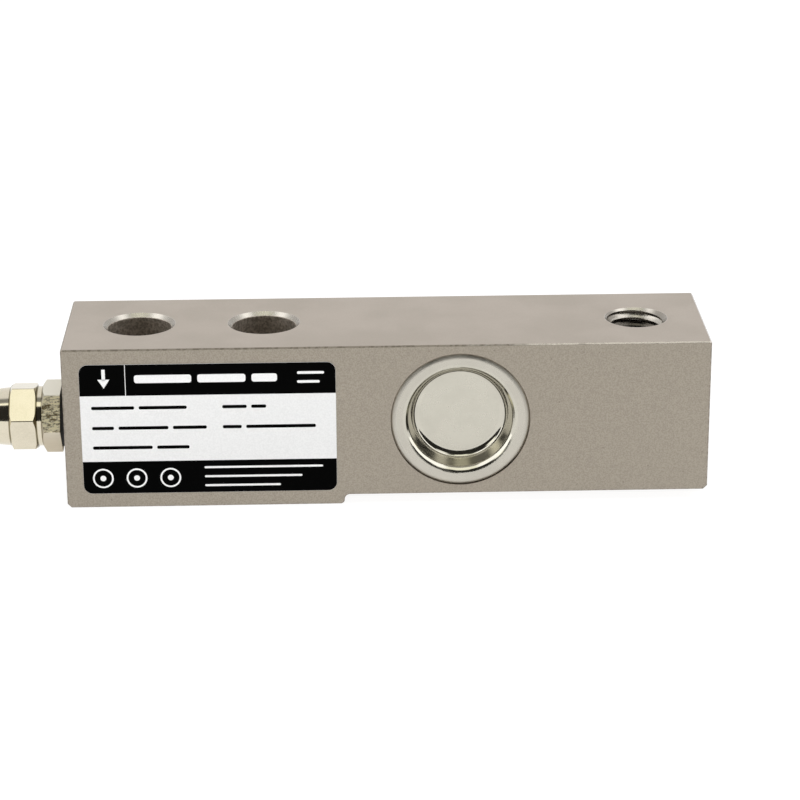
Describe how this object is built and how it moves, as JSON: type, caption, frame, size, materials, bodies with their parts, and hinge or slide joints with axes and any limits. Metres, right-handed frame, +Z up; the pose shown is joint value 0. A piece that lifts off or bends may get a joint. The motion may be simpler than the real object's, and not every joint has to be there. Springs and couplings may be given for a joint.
{
  "type": "cantilever beam load cell",
  "caption": "Single-ended shear beam load cell: square plated bar with a stepped bolt-down pad, tapped load hole, recessed sealing cups, rating label and offset cable gland.",
  "frame": {"origin": "midway between the two bolt holes, on the underside of the mounting pad", "axes": "+X along the bar towards the load end, -Y the labelled front, +Z up along the load hole"},
  "size_m": [0.1459, 0.0319, 0.0338],
  "materials": {
    "plated_steel": "fine bead-blasted alloy steel under dull nickel plate",
    "stainless_cup": "satin pressed stainless sheet",
    "gland_nickel": "bright nickel plate on brass",
    "label_foil": "pale printed foil with black bands",
    "black_rubber": "matt black rubber",
    "claw_nylon": "black nylon",
    "gauge_film": "amber polyimide backing with foil grids",
    "lead_copper": "tinned copper ribbon",
    "board_laminate": "green glass-fibre laminate",
    "silicone": "milky silicone",
    "wire_insulation": "red wire insulation",
    "resistor_body": "black chip resistor"
  },
  "bodies": {
    "root": {"beam_body": "plated_steel", "rating_label": "label_foil", "front_seal_cup": "stainless_cup", "rear_seal_cup": "stainless_cup", "front_shear_gauge": "gauge_film", "rear_shear_gauge": "gauge_film", "front_gauge_leads": "lead_copper", "rear_gauge_leads": "lead_copper", "front_terminal_board": "board_laminate", "rear_terminal_board": "board_laminate", "compensation_board": "board_laminate", "front_silicone_coating": "silicone", "rear_silicone_coating": "silicone", "bridge_link_wires": "wire_insulation", "zero_trim_resistor": "resistor_body", "span_trim_resistor": "resistor_body", "gland_sealing_washer": "black_rubber", "gland_body": "gland_nickel", "gland_cap_nut": "gland_nickel", "gland_clamp_claw": "claw_nylon", "gland_seal_insert": "black_rubber"}
  },
  "joints": []
}
